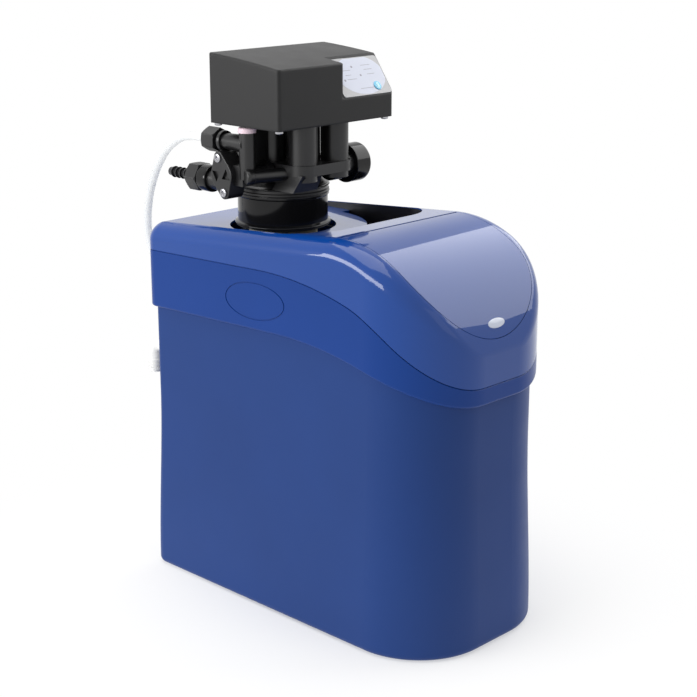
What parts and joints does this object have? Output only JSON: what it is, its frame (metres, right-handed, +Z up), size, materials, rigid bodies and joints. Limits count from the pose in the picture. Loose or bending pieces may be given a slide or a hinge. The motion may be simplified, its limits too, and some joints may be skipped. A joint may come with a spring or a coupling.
{
  "type": "cabinet water softener",
  "caption": "Compact cabinet water softener with a hinged salt lid, tank, piston valve, control head and brine tube.",
  "frame": {"origin": "on the floor, under the middle of the cabinet", "axes": "+Z up, -Y to the front where the salt lid is, +X to the right seen from the front"},
  "size_m": [0.239, 0.4908, 0.6324],
  "materials": {
    "hood_gloss": "high gloss deep blue",
    "cabinet_satin": "satin blue",
    "valve_black": "satin black, glass filled",
    "black_gloss": "glossy black",
    "head_black": "fine grained black",
    "screw_steel": "bright zinc",
    "plug_pink": "pale pink",
    "panel_silver": "silver grey film",
    "button_cyan": "cyan",
    "fitting_white": "white",
    "natural": "natural white",
    "tank_wound": "wound glass fibre and resin",
    "tube_clear": "translucent",
    "seal_rubber": "matt",
    "spring_steel": "bright",
    "gear_nylon": "ivory",
    "board_green": "laminate",
    "motor_metal": "plated"
  },
  "bodies": {
    "cabinet": {"cabinet_body": "cabinet_satin", "hood_apron": "cabinet_satin", "hood_cover": "hood_gloss", "resin_tank": "tank_wound", "tank_foot": "black_gloss", "riser_tube": "natural", "lower_basket": "natural", "upper_basket": "natural", "neck_collar": "black_gloss", "neck_seal": "seal_rubber", "valve_body": "valve_black", "port_cap": "black_gloss", "injector_body": "valve_black", "injector_cap": "valve_black", "injector_screws": "screw_steel", "stub_plug": "plug_pink", "brine_nut": "valve_black", "drain_collar": "valve_black", "drain_nut": "valve_black", "drain_barb": "valve_black", "gear_motor": "motor_metal", "control_base": "head_black", "control_cover": "head_black", "cover_screws": "screw_steel", "display_panel": "panel_silver", "circuit_board": "board_green", "brine_well": "natural", "brine_well_cap": "natural", "brine_valve": "fitting_white", "salt_grid": "natural", "overflow_gasket": "seal_rubber", "overflow_elbow": "fitting_white", "overflow_nut": "fitting_white", "tube_grommet": "seal_rubber", "brine_tube": "tube_clear", "inner_brine_tube": "tube_clear", "piston_spring_1": "spring_steel", "piston_spring_2": "spring_steel", "piston_spring_3": "spring_steel", "piston_spring_4": "spring_steel"},
    "lid": {"salt_lid": "hood_gloss"},
    "button": {"push_button": "button_cyan"},
    "pilot": {"pilot_disc": "gear_nylon", "drive_gear": "gear_nylon"},
    "pinion": {"motor_pinion": "gear_nylon"},
    "float": {"brine_float": "natural"},
    "piston_1_body": {"piston_1": "natural"},
    "piston_2_body": {"piston_2": "natural"},
    "piston_3_body": {"piston_3": "natural"},
    "piston_4_body": {"piston_4": "natural"}
  },
  "joints": [
    {"name": "lid_hinge", "type": "hinge", "parent": "cabinet", "child": "lid", "pos_m": [0, -0.078, 0.45], "axis": [-1, 0, 0], "range_deg": [0, 105]},
    {"name": "button_press", "type": "slide", "parent": "cabinet", "child": "button", "axis": [0, 0.8171, -0.5764], "range_m": [0, 0.001], "stiffness_N_per_m": 300},
    {"name": "pilot_spin", "type": "hinge", "parent": "cabinet", "child": "pilot", "pos_m": [-0.009, 0.0666, 0.56], "axis": [0, 0, 1], "continuous": true},
    {"name": "pinion_spin", "type": "hinge", "parent": "cabinet", "child": "pinion", "pos_m": [0.0174, 0.0666, 0.578], "axis": [0, 0, 1], "continuous": true},
    {"name": "float_rise", "type": "slide", "parent": "cabinet", "child": "float", "axis": [0, 0, 1], "range_m": [0, 0.06]},
    {"name": "piston_1_slide", "type": "slide", "parent": "cabinet", "child": "piston_1_body", "axis": [0, 0, -1], "range_m": [0, 0.008], "stiffness_N_per_m": 500, "springref_m": -0.002, "deforming": ["piston_spring_1"]},
    {"name": "piston_2_slide", "type": "slide", "parent": "cabinet", "child": "piston_2_body", "axis": [0, 0, -1], "range_m": [0, 0.008], "stiffness_N_per_m": 500, "springref_m": -0.002, "deforming": ["piston_spring_2"]},
    {"name": "piston_3_slide", "type": "slide", "parent": "cabinet", "child": "piston_3_body", "axis": [0, 0, -1], "range_m": [0, 0.008], "stiffness_N_per_m": 500, "springref_m": -0.002, "deforming": ["piston_spring_3"]},
    {"name": "piston_4_slide", "type": "slide", "parent": "cabinet", "child": "piston_4_body", "axis": [0, 0, -1], "range_m": [0, 0.008], "stiffness_N_per_m": 500, "springref_m": -0.002, "deforming": ["piston_spring_4"]}
  ],
  "couplings": [
    {"joint": "pinion_spin", "follows": "pilot_spin", "ratio": -3}
  ]
}
